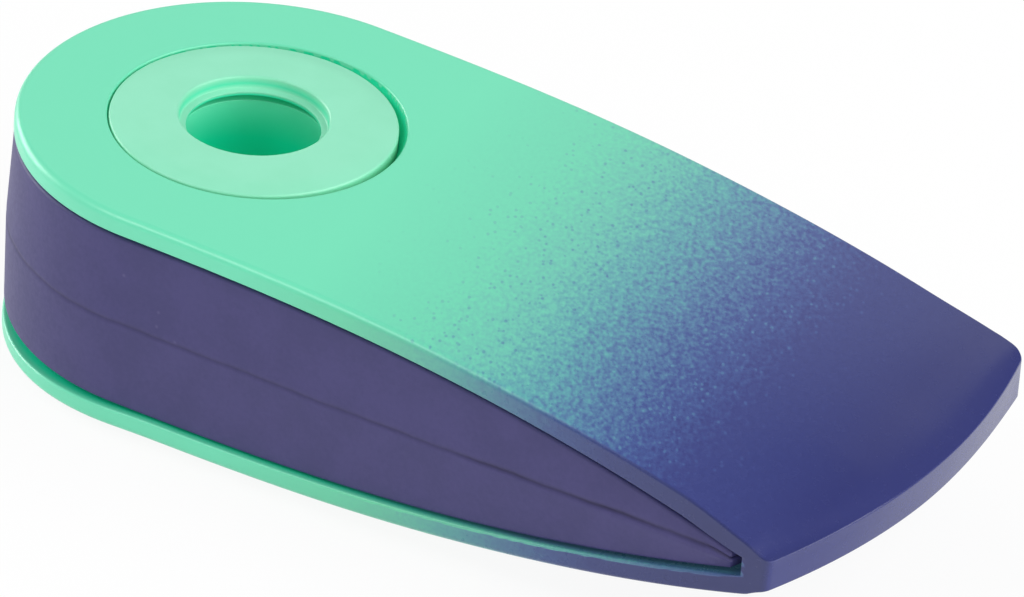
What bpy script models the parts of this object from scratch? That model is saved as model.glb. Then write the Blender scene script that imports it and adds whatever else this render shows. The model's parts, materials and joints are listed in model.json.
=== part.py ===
"""Swivel eraser: a wedge of eraser that turns out of a slim U-shaped sleeve on a hollow snap hub.

The hub axis is vertical. Faces that pass each other are turned about it, so the eraser clears
the sleeve at every angle. +X runs from the hub end to the nose, +Z is up, lengths are metres.
"""
import math

import bmesh
import bpy

MM = 0.001

# Overall size of the sleeve
LENGTH = 54.0 * MM
WIDTH = 25.0 * MM
THICKNESS = 12.8 * MM
NOSE_HEIGHT = 2.1 * MM

# Sleeve walls, lands and edges
PLATE_WALL = 1.1 * MM
NOSE_WALL = 1.75 * MM
SLOT_END_HEIGHT = 1.15 * MM
OUTER_LAND_WIDTH = 1.2 * MM
INNER_LAND_WIDTH = 0.2 * MM
SLEEVE_CORNER_RADIUS = 1.2 * MM
SLEEVE_EDGE_ROUND = 0.4 * MM

# Hub
BORE_RADIUS = 3.85 * MM
TUBE_WALL = 1.2 * MM
COLLAR_WALL = 0.6 * MM
COLLAR_DEPTH = 3.0 * MM
FLANGE_WIDTH = 1.5 * MM
FLANGE_EDGE_ROUND = 0.15 * MM
MOUTH_FLARE = 0.35 * MM
LIP_STEP = 0.3 * MM
LIP_DEPTH = 0.8 * MM
BEAD_HEIGHT = 0.3 * MM
BEAD_WIDTH = 0.6 * MM
BEAD_RISE = 1.2 * MM

# Eraser
SIDE_INSET = 0.3 * MM
ERASER_CORNER_RADIUS = 0.6 * MM
ERASER_EDGE_ROUND = 0.2 * MM

# Clearances
FACE_CLEARANCE = 0.2 * MM
TIP_CLEARANCE = 0.3 * MM
BEARING_CLEARANCE = 0.3 * MM
BEARING_SHIFT = 0.15 * MM
HUB_FIT = 0.15 * MM
SEAT_GAP = 0.1 * MM

# Largest share of a wall's height that one rounded edge may take
ROUND_SHARE = 0.4

# Facets
CAVITY_STEPS = 96
HUB_STEPS = 64
PROFILE_STEPS = 8
ROUND_STEPS = 3
END_STEPS = 32
SIDE_STEPS = 8
CORNER_STEPS = 3
NOSE_STEPS = 12
CUT_MARGIN = 1.0 * MM
MERGE_DISTANCE = 0.001 * MM

# Sizes that follow from those above
END_RADIUS = WIDTH / 2
NOSE_RADIUS = LENGTH - END_RADIUS
HALF_THICKNESS = THICKNESS / 2
INNER_HALF = HALF_THICKNESS - PLATE_WALL
SLOT_RADIUS = NOSE_RADIUS - NOSE_WALL

SPIGOT_RADIUS = BORE_RADIUS + TUBE_WALL
SOCKET_RADIUS = SPIGOT_RADIUS + HUB_FIT
GROOVE_RADIUS = SOCKET_RADIUS + BEAD_HEIGHT
BARREL_RADIUS = GROOVE_RADIUS + COLLAR_WALL
ERASER_HOLE_RADIUS = BARREL_RADIUS + HUB_FIT
FLANGE_RADIUS = BARREL_RADIUS + FLANGE_WIDTH
PLATE_HOLE_RADIUS = FLANGE_RADIUS + BEARING_CLEARANCE
PLATE_HOLE_REACH = PLATE_HOLE_RADIUS + BEARING_SHIFT
OUTER_LAND = PLATE_HOLE_REACH + OUTER_LAND_WIDTH
INNER_LAND = PLATE_HOLE_REACH + INNER_LAND_WIDTH

ERASER_HALF = INNER_HALF - FACE_CLEARANCE
TIP_RADIUS = SLOT_RADIUS - TIP_CLEARANCE
TIP_HALF = SLOT_END_HEIGHT / 2 - FACE_CLEARANCE

FLANGE_UNDERSIDE = ERASER_HALF + SEAT_GAP
LIP_RADIUS = BORE_RADIUS - LIP_STEP
SOCKET_ROOF = HALF_THICKNESS - LIP_DEPTH
COLLAR_END = FLANGE_UNDERSIDE - COLLAR_DEPTH
SHOULDER = COLLAR_END - SEAT_GAP
BEAD_CENTRE = COLLAR_END + BEAD_RISE

HUB_X = END_RADIUS - LENGTH / 2

MINT = (0.20, 0.76, 0.50, 1.0)
PALE_MINT = (0.32, 0.80, 0.57, 1.0)
DUSTY_VIOLET = (0.085, 0.076, 0.19, 1.0)


class Bowed:
    """A face turned about the hub axis: flat to its land, then bent down on one arc to a given end."""

    def __init__(self, land, height, end_radius, end_height):
        run = end_radius - land
        drop = height - end_height
        self.land = land
        self.height = height
        self.end_radius = end_radius
        self.bend_radius = (run * run + drop * drop) / (2 * drop)

    def at(self, radius):
        """Return the face's height at a distance from the hub axis."""
        past = max(radius - self.land, 0.0)
        return self.height - self.bend_radius + math.sqrt(self.bend_radius ** 2 - past * past)

    def lens(self):
        """Return the half section, top to bottom, of the solid between this face and its mirror image."""
        run = self.end_radius - self.land
        radii = [0.0] + [self.land + run * step / PROFILE_STEPS for step in range(PROFILE_STEPS + 1)]
        top = [(radius, self.at(radius)) for radius in radii]
        return top + [(radius, -height) for radius, height in reversed(top)]


def clear_scene():
    """Remove every object of the open file."""
    for thing in list(bpy.data.objects):
        bpy.data.objects.remove(thing, do_unlink=True)


def material(name, colour, roughness):
    """Return a Principled material of one colour."""
    made = bpy.data.materials.new(name)
    made.use_nodes = True
    shader = made.node_tree.nodes["Principled BSDF"]
    shader.inputs["Base Color"].default_value = colour
    shader.inputs["Roughness"].default_value = roughness
    shader.inputs["Metallic"].default_value = 0.0
    return made


def arc(centre, radius, start, end, steps):
    """Return points along an arc, both ends included; angles are in radians."""
    span = end - start
    angles = [start + span * step / steps for step in range(steps + 1)]
    return [(centre[0] + radius * math.cos(a), centre[1] + radius * math.sin(a)) for a in angles]


def mesh_object(name, shape):
    """Turn a bmesh into a linked object with its faces pointing out."""
    bmesh.ops.recalc_face_normals(shape, faces=shape.faces)
    mesh = bpy.data.meshes.new(name)
    shape.to_mesh(mesh)
    shape.free()
    made = bpy.data.objects.new(name, mesh)
    bpy.context.scene.collection.objects.link(made)
    return made


def turned(name, section, steps, closed=False, centre_x=0.0):
    """Spin a section of (radius, height) points once about a vertical axis at `centre_x`."""
    shape = bmesh.new()
    verts = [shape.verts.new((centre_x + radius, 0.0, height)) for radius, height in section]
    pairs = list(zip(verts, verts[1:]))
    if closed:
        pairs.append((verts[-1], verts[0]))
    edges = [shape.edges.new(pair) for pair in pairs]
    bmesh.ops.spin(
        shape,
        geom=verts + edges,
        cent=(centre_x, 0.0, 0.0),
        axis=(0.0, 0.0, 1.0),
        steps=steps,
        angle=2 * math.pi,
        use_merge=True,
    )
    bmesh.ops.remove_doubles(shape, verts=shape.verts, dist=MERGE_DISTANCE)
    return mesh_object(name, shape)


def bored(name, radius, centre_x=0.0):
    """Return an upright cylinder that reaches past both faces, for cutting a round hole."""
    reach = HALF_THICKNESS + CUT_MARGIN
    section = [(0.0, reach), (radius, reach), (radius, -reach), (0.0, -reach)]
    return turned(name, section, HUB_STEPS, centre_x=centre_x)


def tongue_plan(end_radius, nose_radius, corner_radius, inset):
    """Return a plan with a round hub end, straight sides, rounded corners and an arched nose.

    Both arcs share the hub axis, and the whole plan is drawn in by `inset`.
    """
    corner_y = end_radius - corner_radius
    corner_x = math.sqrt((nose_radius - corner_radius) ** 2 - corner_y ** 2)
    turn = math.atan2(corner_y, corner_x)
    side_y = end_radius - inset
    corner = corner_radius - inset
    quarter = math.pi / 2
    side_x = [corner_x * step / SIDE_STEPS for step in range(1, SIDE_STEPS)]
    hub_end = arc((0.0, 0.0), side_y, quarter, 3 * quarter, END_STEPS)
    near_side = [(x, -side_y) for x in side_x]
    near_corner = arc((corner_x, -corner_y), corner, -quarter, -turn, CORNER_STEPS)
    nose = arc((0.0, 0.0), nose_radius - inset, -turn, turn, NOSE_STEPS)
    far_corner = arc((corner_x, corner_y), corner, turn, quarter, CORNER_STEPS)
    far_side = [(x, side_y) for x in reversed(side_x)]
    return hub_end + near_side + near_corner + nose[1:-1] + far_corner + far_side


def lofted(name, plan, face, edge_round):
    """Loft a solid between a bowed face and its mirror image, with an upright wall and rounded edges.

    `plan` is a function from an inset to the outline drawn in by it.
    """
    rings = []
    for step in range(ROUND_STEPS + 1):
        angle = math.pi / 2 * step / ROUND_STEPS
        outline = plan(edge_round * (1 - math.cos(angle)))
        sunk = edge_round * (1 - math.sin(angle))
        rings.append([(x, y, face.at(math.hypot(x, y)) - sunk) for x, y in outline])
    edge = [(math.hypot(x, y), math.atan2(y, x)) for x, y, _ in rings[-1]]
    for step in range(1, PROFILE_STEPS + 1):
        share = step / PROFILE_STEPS
        polar = [(radius + (face.land - radius) * share, turn) for radius, turn in edge]
        rings.append([(r * math.cos(turn), r * math.sin(turn), face.at(r)) for r, turn in polar])
    mirrored = [[(x, y, -z) for x, y, z in ring] for ring in rings]
    shape = bmesh.new()
    loops = [[shape.verts.new(point) for point in ring] for ring in mirrored[::-1] + rings]
    for lower, upper in zip(loops, loops[1:]):
        for index in range(len(lower)):
            shape.faces.new((lower[index - 1], lower[index], upper[index], upper[index - 1]))
    shape.faces.new(loops[0])
    shape.faces.new(loops[-1])
    return mesh_object(name, shape)


def cut(target, tool):
    """Take `tool` away from `target`, and keep it as a hidden guide."""
    tool.hide_render = True
    tool.display_type = "WIRE"
    tool.parent = target
    step = target.modifiers.new(tool.name, "BOOLEAN")
    step.operation = "DIFFERENCE"
    step.solver = "EXACT"
    step.object = tool


def finish(made, finish_material, root):
    """Dress a piece, shade it smooth and hang it on the root at the hub axis."""
    made.data.materials.append(finish_material)
    made.data.shade_smooth()
    made.data.set_sharp_from_angle(angle=math.radians(35))
    made.parent = root


def inner_face():
    """Return the face of the sleeve's slot, which the eraser passes."""
    return Bowed(INNER_LAND, INNER_HALF, SLOT_RADIUS, SLOT_END_HEIGHT / 2)


def build_sleeve(colour, root):
    """Two bowed plates joined by the nose wall, moulded in one piece, each with a round hole for the hub."""

    def plan(inset):
        return tongue_plan(END_RADIUS, NOSE_RADIUS, SLEEVE_CORNER_RADIUS, inset)

    outer_face = Bowed(OUTER_LAND, HALF_THICKNESS, NOSE_RADIUS, NOSE_HEIGHT / 2)
    edge_round = min(SLEEVE_EDGE_ROUND, ROUND_SHARE * NOSE_HEIGHT)
    sleeve = lofted("sleeve", plan, outer_face, edge_round)
    cut(sleeve, turned("sleeve_slot", inner_face().lens(), CAVITY_STEPS))
    cut(sleeve, bored("sleeve_hub_hole", PLATE_HOLE_RADIUS, BEARING_SHIFT))
    finish(sleeve, colour, root)


def build_eraser(colour, root):
    """A wedge that fills the sleeve's slot, with crowned faces and a hole for the hub's barrel."""

    def plan(inset):
        return tongue_plan(END_RADIUS - SIDE_INSET, TIP_RADIUS, ERASER_CORNER_RADIUS, inset)

    face = Bowed(INNER_LAND, ERASER_HALF, TIP_RADIUS, TIP_HALF)
    edge_round = min(ERASER_EDGE_ROUND, ROUND_SHARE * 2 * TIP_HALF)
    eraser = lofted("eraser", plan, face, edge_round)
    cut(eraser, bored("eraser_hub_hole", ERASER_HOLE_RADIUS))
    finish(eraser, colour, root)


def flange_edge():
    """Return the upper flange from face to underside, with its rounded rim, in to the barrel."""
    rim_centre = (FLANGE_RADIUS - FLANGE_EDGE_ROUND, HALF_THICKNESS - FLANGE_EDGE_ROUND)
    rim = arc(rim_centre, FLANGE_EDGE_ROUND, math.pi / 2, 0.0, ROUND_STEPS)
    return rim + [(FLANGE_RADIUS, FLANGE_UNDERSIDE), (BARREL_RADIUS, FLANGE_UNDERSIDE)]


def snap_ring(radius, half_width):
    """Return a ring with sloped flanks that stands out from `radius`, top to bottom, at the bead's height."""
    top = BEAD_CENTRE + half_width
    bottom = BEAD_CENTRE - half_width
    slope = half_width / 2
    crest = radius + BEAD_HEIGHT
    return [(radius, top), (crest, top - slope), (crest, bottom + slope), (radius, bottom)]


def build_hub_cap(colour, root):
    """Upper flange with the flared mouth and a collar that snaps over the base's spigot."""
    mouth = [(LIP_RADIUS, SOCKET_ROOF), (LIP_RADIUS + MOUTH_FLARE, HALF_THICKNESS)]
    collar = [(BARREL_RADIUS, COLLAR_END), (SOCKET_RADIUS, COLLAR_END)]
    groove = snap_ring(SOCKET_RADIUS, BEAD_WIDTH / 2 + HUB_FIT)
    section = mouth + flange_edge() + collar + groove[::-1] + [(SOCKET_RADIUS, SOCKET_ROOF)]
    finish(turned("hub_cap", section, HUB_STEPS, closed=True), colour, root)


def build_hub_base(colour, root):
    """Lower flange with the barrel that carries the eraser and the spigot that the cap snaps on to."""
    spigot_end = SOCKET_ROOF - SEAT_GAP
    inside = [(BORE_RADIUS, spigot_end), (SPIGOT_RADIUS, spigot_end)]
    bead = snap_ring(SPIGOT_RADIUS, BEAD_WIDTH / 2)
    shoulder = [(SPIGOT_RADIUS, SHOULDER), (BARREL_RADIUS, SHOULDER)]
    flange = [(radius, -height) for radius, height in reversed(flange_edge())]
    mouth = [(BORE_RADIUS + MOUTH_FLARE, -HALF_THICKNESS), (BORE_RADIUS, MOUTH_FLARE - HALF_THICKNESS)]
    section = inside + bead + shoulder + flange + mouth
    finish(turned("hub_base", section, HUB_STEPS, closed=True), colour, root)


def main():
    """Build the four pieces on a root at the hub axis, half the thickness above the surface they rest on."""
    clear_scene()
    root = bpy.data.objects.new("hub_axis", None)
    root.location = (HUB_X, 0.0, HALF_THICKNESS)
    bpy.context.scene.collection.objects.link(root)
    mint = material("mint_plastic", MINT, 0.45)
    pale_mint = material("pale_mint_plastic", PALE_MINT, 0.4)
    violet = material("violet_rubber", DUSTY_VIOLET, 0.85)
    build_sleeve(mint, root)
    build_eraser(violet, root)
    build_hub_base(pale_mint, root)
    build_hub_cap(pale_mint, root)


main()
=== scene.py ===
"""Looks of a swivel eraser: a sprayed one-piece sleeve, a violet eraser wedge and a hollow snap hub.

Every piece is a surface worked out with numpy about the hub axis and rides on its CAD body.
In a piece's own frame the origin lies on the hub axis at the sleeve's middle plane, +X runs to
the nose and +Z is up. Lengths are metres.
"""

import json
import logging
import math
from dataclasses import dataclass, replace
from enum import Enum
from typing import Any, Callable, Sequence, Union

import bmesh
import bpy
import numpy as np
from mathutils import Matrix, Quaternion, Vector

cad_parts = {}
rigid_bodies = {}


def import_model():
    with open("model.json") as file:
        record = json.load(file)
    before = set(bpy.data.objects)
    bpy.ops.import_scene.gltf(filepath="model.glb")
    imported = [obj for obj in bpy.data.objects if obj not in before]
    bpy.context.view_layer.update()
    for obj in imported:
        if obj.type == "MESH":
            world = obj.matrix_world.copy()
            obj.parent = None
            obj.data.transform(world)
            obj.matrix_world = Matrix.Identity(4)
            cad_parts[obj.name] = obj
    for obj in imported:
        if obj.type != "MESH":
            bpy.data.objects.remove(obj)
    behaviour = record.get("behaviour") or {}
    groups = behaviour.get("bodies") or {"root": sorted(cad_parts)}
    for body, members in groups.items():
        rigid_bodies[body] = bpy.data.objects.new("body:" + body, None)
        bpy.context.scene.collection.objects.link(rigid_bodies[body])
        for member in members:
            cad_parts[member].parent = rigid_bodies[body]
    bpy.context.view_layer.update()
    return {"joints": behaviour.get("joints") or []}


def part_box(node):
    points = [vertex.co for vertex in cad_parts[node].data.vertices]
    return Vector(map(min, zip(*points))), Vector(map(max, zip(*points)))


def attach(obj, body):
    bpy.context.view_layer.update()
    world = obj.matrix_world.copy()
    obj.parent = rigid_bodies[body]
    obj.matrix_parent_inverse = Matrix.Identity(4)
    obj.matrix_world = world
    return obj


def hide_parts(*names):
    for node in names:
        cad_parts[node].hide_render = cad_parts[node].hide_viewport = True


MM = 0.001
QUARTER = math.pi / 2
MERGE_DISTANCE = 0.0005 * MM
SHARP_ANGLE = math.radians(38)
FINE_ROUND = 0.04 * MM
NOISE_MEAN = 0.5
MARK = "mark"
DARK = (0.0, 0.0, 0.0, 1.0)
WHITE = (1.0, 1.0, 1.0, 1.0)

LOG = logging.getLogger("swivel_eraser")

Colour = tuple[float, float, float, float]
Pair = tuple[float, float]
Waves = tuple[tuple[float, float, float], ...]
Sockets = dict[Union[str, int], Any]


class Body(Enum):
    """CAD bodies that a piece can ride on."""

    SLEEVE = "sleeve"
    ERASER = "eraser"


class Slot(Enum):
    """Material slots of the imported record."""

    SLEEVE = "sleeve_plastic"
    HUB = "hub_plastic"
    ERASER = "eraser_rubber"


class Mark(Enum):
    """Share of a finish's second look: the sleeve's spray coat against its inside, whose deeper green and
    glow are painted shade and painted light; the wedge's seam, painted darker in its groove as painted
    shade; or the hub's bore, whose deeper green and glow are painted shade and painted light.
    """

    FULL = 1.0
    EDGE = 0.5
    NONE = 0.0


class Flank(Enum):
    """The two mirrored halves of a piece, above and below its middle plane."""

    UPPER = 1.0
    LOWER = -1.0


def tint(red: int, green: int, blue: int) -> Colour:
    """Return the linear colour of screen levels from 0 to 255, by the sRGB curve."""
    levels = [level / 255.0 for level in (red, green, blue)]
    return *(s / 12.92 if s <= 0.04045 else ((s + 0.055) / 1.055) ** 2.4 for s in levels), 1.0


def grey(level: float) -> Colour:
    """Return the grey of one linear level."""
    return level, level, level, 1.0


def eased(count: int) -> np.ndarray:
    """Return `count` shares from 0 to 1 by half a cosine wave, so that they crowd at both ends."""
    return 0.5 - 0.5 * np.cos(np.linspace(0.0, math.pi, count))


def smooth_step(low: float, high: float, values: np.ndarray) -> np.ndarray:
    """Return the cubic 3t^2 - 2t^3, where t runs from 0 at `low` to 1 at `high`."""
    share = np.clip((values - low) / (high - low), 0.0, 1.0)
    return share * share * (3.0 - 2.0 * share)


def reach_of(plan: np.ndarray) -> np.ndarray:
    """Return the distance of plan points from the hub axis."""
    return np.hypot(plan[..., 0], plan[..., 1])


def raised(plan: np.ndarray, height: np.ndarray) -> np.ndarray:
    """Join plan points and heights of the same shape into points in space."""
    return np.concatenate([plan, np.broadcast_to(height, plan.shape[:-1])[..., None]], axis=-1)


def rings(radii: np.ndarray, shift: Any, turn: np.ndarray) -> np.ndarray:
    """Return plan points centre + radius * (cos turn, sin turn), with one row to each radius."""
    heading = np.stack([np.cos(turn), np.sin(turn)], axis=-1)
    return np.broadcast_to(shift, (len(radii), 2))[:, None] + radii[:, None, None] * heading


def waves_at(run: np.ndarray, waves: Waves) -> np.ndarray:
    """Return the sum of height * sin(rate * run + start) over all waves, with the run in millimetres."""
    return sum(height * np.sin(rate * run / MM + start) for height, rate, start in waves)


@dataclass(frozen=True)
class Bow:
    """A face turned about the hub axis: flat to its land, then bent down on one arc to a given end.

    Over its last `roll_run` it can roll off further, by `roll_drop` at its end.
    """

    land: float
    height: float
    end_radius: float
    end_height: float
    roll_run: float = 1.0 * MM
    roll_drop: float = 0.0

    def at(self, radius: np.ndarray) -> np.ndarray:
        """Height of the face: h - b + sqrt(b^2 - p^2), with bend radius b and distance p past the land.

        The roll takes off its drop times the share of its run, which makes it a plain bevel.

        Args:
            radius: Distances from the hub axis.

        Returns:
            Heights above the middle plane, of the same shape.
        """
        run = self.end_radius - self.land
        drop = self.height - self.end_height
        bend = (run * run + drop * drop) / (2.0 * drop)
        past = np.clip(radius - self.land, 0.0, bend)
        rolled = np.clip(1.0 - (self.end_radius - radius) / self.roll_run, 0.0, 1.0)
        return self.height - bend + np.sqrt(bend * bend - past * past) - self.roll_drop * rolled


@dataclass(frozen=True)
class Stretch:
    """One arc or straight line of a plan: a centre that moves and a normal that turns evenly."""

    start: Pair
    end: Pair
    radius: float
    from_angle: float
    to_angle: float
    count: int


@dataclass(frozen=True)
class Outline:
    """A closed plan, kept as an arc centre, a radius and a normal angle for each of its points."""

    centres: np.ndarray
    radii: np.ndarray
    angles: np.ndarray

    @classmethod
    def chained(cls, stretches: Sequence[Stretch]) -> "Outline":
        """Join stretches end to end; each gives its first point and leaves its last to the next.

        Args:
            stretches: Arcs and lines in order round the plan.

        Returns:
            The closed outline.
        """
        centres, radii, angles = [], [], []
        for part in stretches:
            share = np.arange(part.count)[:, None] / part.count
            centres.append(np.array(part.start) * (1.0 - share) + np.array(part.end) * share)
            radii.append(np.full(part.count, part.radius))
            angles.append(part.from_angle + (part.to_angle - part.from_angle) * share[:, 0])
        return cls(np.concatenate(centres), np.concatenate(radii), np.concatenate(angles))

    def drawn_in(self, inset: Any) -> np.ndarray:
        """Return plan points centre + (radius - inset) * normal, one row to each row of insets."""
        normals = np.stack([np.cos(self.angles), np.sin(self.angles)], axis=-1)
        return self.centres + np.asarray(self.radii - inset)[..., None] * normals

    def bearings(self) -> np.ndarray:
        """Return the angle of each point about the hub axis."""
        points = self.drawn_in(0.0)
        return np.arctan2(points[:, 1], points[:, 0])

    def travelled(self) -> np.ndarray:
        """Return the length of the outline from its first point to each point."""
        points = self.drawn_in(0.0)
        steps = np.linalg.norm(np.diff(points, axis=0), axis=-1)
        return np.concatenate([[0.0], np.cumsum(steps)])


@dataclass(frozen=True)
class TonguePlan:
    """Plan with a round hub end, straight sides, rounded corners and a nose arc about the hub axis.

    Each side is divided at `split_x`, so that a wall can change there. The hub end's own centre
    lies at `end_x`.
    """

    end_radius: float
    nose_radius: float
    near_radius: float
    far_radius: float
    split_x: float
    end_x: float = 0.0
    end_count: int = 128
    side_count: int = 88
    cheek_count: int = 6
    corner_count: int = 12
    nose_count: int = 64

    def corner(self, radius: float) -> Pair:
        """Return the place along and across of a corner arc's centre; it touches side and nose arc."""
        across = self.end_radius - radius
        along = math.sqrt((self.nose_radius - radius) ** 2 - across * across)
        return along, across

    def corner_x(self) -> float:
        """Return how far along the near corner's arc has its centre."""
        return self.corner(self.near_radius)[0]

    def outline(self) -> Outline:
        """Return the outline, from the far side round the hub end, the near side and the nose."""
        hub, back = (0.0, 0.0), (self.end_x, 0.0)
        split = (self.split_x, 0.0)
        near_x, near_y = self.corner(self.near_radius)
        far_x, far_y = self.corner(self.far_radius)
        near_corner, far_corner = (near_x, -near_y), (far_x, far_y)
        near_cheek, far_cheek = (near_x, 0.0), (far_x, 0.0)
        near, nose_start = 3 * QUARTER, 4 * QUARTER - math.atan2(near_y, near_x)
        nose_end, far = 4 * QUARTER + math.atan2(far_y, far_x), 5 * QUARTER
        end = self.end_radius
        return Outline.chained([
            Stretch(back, back, end, QUARTER, near, self.end_count),
            Stretch(back, split, end, near, near, self.side_count),
            Stretch(split, near_cheek, end, near, near, self.cheek_count),
            Stretch(near_corner, near_corner, self.near_radius, near, nose_start, self.corner_count),
            Stretch(hub, hub, self.nose_radius, nose_start, nose_end, self.nose_count),
            Stretch(far_corner, far_corner, self.far_radius, nose_end, far, self.corner_count),
            Stretch(far_cheek, split, end, far, far, self.cheek_count),
            Stretch(split, back, end, far, far, self.side_count),
        ])

    def nose_columns(self) -> slice:
        """Return the outline's points from the near split round the nose to the far split."""
        first = self.end_count + self.side_count
        count = 2 * self.cheek_count + 2 * self.corner_count + self.nose_count
        return slice(first, first + count + 1)


@dataclass(frozen=True)
class CrownedFace:
    """A bowed face that runs from a hub hole's rounded lip out to an outline's rounded rim.

    The rim lies inside the outline by `inset`, and the hole's centre lies off the hub axis by
    `hole_shift`.
    """

    bow: Bow
    hole_radius: float
    hole_round: float
    round_count: int
    face_count: int
    hole_shift: Pair = (0.0, 0.0)
    inset: float = 0.0

    def rows(self, outline: Outline, edge: np.ndarray) -> np.ndarray:
        """Rows up round the lip, on straight lines out over the bow and a quarter turn down the rim.

        Args:
            outline: Plan of the piece.
            edge: Radius of the rim's round at each column.

        Returns:
            Grid of points.
        """
        angle = np.linspace(0.0, QUARTER, self.round_count)
        widened = self.hole_radius + self.hole_round * (1.0 - np.cos(angle))
        lip = rings(widened, self.hole_shift, outline.bearings())
        lip_height = self.bow.height - self.hole_round * (1.0 - np.sin(angle))
        share = eased(self.face_count)[1:-1, None, None]
        face = lip[-1] * (1.0 - share) + outline.drawn_in(self.inset + edge) * share
        falling = angle[::-1, None]
        rim = outline.drawn_in(self.inset + edge * (1.0 - np.cos(falling)))
        rim_height = self.bow.at(reach_of(rim)) - edge * (1.0 - np.sin(falling))
        return np.concatenate([
            raised(lip, lip_height[:, None]),
            raised(face, self.bow.at(reach_of(face))),
            raised(rim, rim_height),
        ])


@dataclass(frozen=True)
class Patch:
    """A grid of points, rows by columns, that closes on itself across the columns or the rows."""

    points: np.ndarray
    mark: np.ndarray
    ring: bool = True
    tube: bool = False

    @classmethod
    def plain(cls, points: np.ndarray, mark: Mark, ring: bool = True) -> "Patch":
        """Return a patch with the same mark all over."""
        return cls(points, np.full(points.shape[:2], mark.value), ring)

    def faces(self) -> np.ndarray:
        """Return the grid's four-cornered faces as vertex numbers."""
        rows, columns = self.points.shape[:2]
        numbers = np.arange(rows * columns).reshape(rows, columns)
        if self.ring:
            numbers = np.concatenate([numbers, numbers[:, :1]], axis=1)
        if self.tube:
            numbers = np.concatenate([numbers, numbers[:1]], axis=0)
        corners = [numbers[:-1, :-1], numbers[:-1, 1:], numbers[1:, 1:], numbers[1:, :-1]]
        return np.stack(corners, axis=-1).reshape(-1, 4)

    def on(self, flank: Flank) -> "Patch":
        """Return the patch on one side of the middle plane; it is built on the upper side."""
        flipped = self.points * np.array([1.0, 1.0, flank.value])
        return Patch(flipped, self.mark, self.ring, self.tube)


def mesh_piece(name: str, patches: Sequence[Patch], place: np.ndarray) -> bpy.types.Object:
    """Join patches into one closed mesh, with its seams merged and its faces pointing out.

    Args:
        name: Name of the piece.
        patches: Grids that meet along their borders.
        place: Where the patches' origin lies.

    Returns:
        The linked object, at the origin, with its place in its mesh.
    """
    points = np.concatenate([patch.points.reshape(-1, 3) for patch in patches]) + place
    marks = np.concatenate([patch.mark.ravel() for patch in patches])
    starts = np.cumsum([0] + [patch.mark.size for patch in patches[:-1]])
    faces = np.concatenate([patch.faces() + start for patch, start in zip(patches, starts)])
    mesh = bpy.data.meshes.new(name)
    mesh.from_pydata(points.tolist(), [], faces.tolist())
    layer = mesh.attributes.new(MARK, "FLOAT", "POINT")
    layer.data.foreach_set("value", marks.astype(np.float32))
    shape = bmesh.new()
    shape.from_mesh(mesh)
    bmesh.ops.remove_doubles(shape, verts=shape.verts, dist=MERGE_DISTANCE)
    bmesh.ops.dissolve_degenerate(shape, edges=shape.edges, dist=MERGE_DISTANCE)
    bmesh.ops.recalc_face_normals(shape, faces=shape.faces)
    shape.to_mesh(mesh)
    shape.free()
    mesh.shade_smooth()
    mesh.set_sharp_from_angle(angle=SHARP_ANGLE)
    piece = bpy.data.objects.new(name, mesh)
    bpy.context.scene.collection.objects.link(piece)
    return piece


def fit_piece(
        piece: bpy.types.Object, finish: bpy.types.Material, body: Body, slot: Slot, *nodes: str) -> None:
    """Dress a piece, hang it on its body and let it stand for CAD nodes.

    Args:
        piece: The built piece.
        finish: Its material.
        body: CAD body that carries it.
        slot: Record slot of its finish; not used.
        nodes: CAD nodes that it replaces.
    """
    piece.data.materials.append(finish)
    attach(piece, body.value)
    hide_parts(*nodes)


def math_method(operation: str, flipped: bool = False) -> Callable[["Wire", Any], "Wire"]:
    """Make a method that adds a Math node on a wire and another value, which can come first."""
    def method(wire: "Wire", other: Any) -> "Wire":
        """Add the node and return its result."""
        pair = (other, wire) if flipped else (wire, other)
        return wire.bench.math(operation, *pair)
    return method


class Wire:
    """A value in a shader, whose operators add Math nodes."""

    def __init__(self, bench: "Bench", socket: bpy.types.NodeSocket) -> None:
        """Wrap an output socket of the bench's tree."""
        self.bench = bench
        self.socket = socket

    __add__ = math_method("ADD")
    __radd__ = math_method("ADD", flipped=True)
    __sub__ = math_method("SUBTRACT")
    __rsub__ = math_method("SUBTRACT", flipped=True)
    __mul__ = math_method("MULTIPLY")
    __rmul__ = math_method("MULTIPLY", flipped=True)
    __lt__ = math_method("LESS_THAN")
    or_more = math_method("MAXIMUM")
    or_less = math_method("MINIMUM")

    def limited(self) -> "Wire":
        """Keep the value from 0 to 1."""
        return self.or_more(0.0).or_less(1.0)

    def size(self) -> "Wire":
        """Return the value without its sign."""
        return self.bench.math("ABSOLUTE", self, 0.0)

    def halfway(self) -> "Wire":
        """Return a hump that is 0 where the value is 0 or 1, and 1 where it is one half."""
        return self * (1.0 - self) * 4.0


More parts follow.
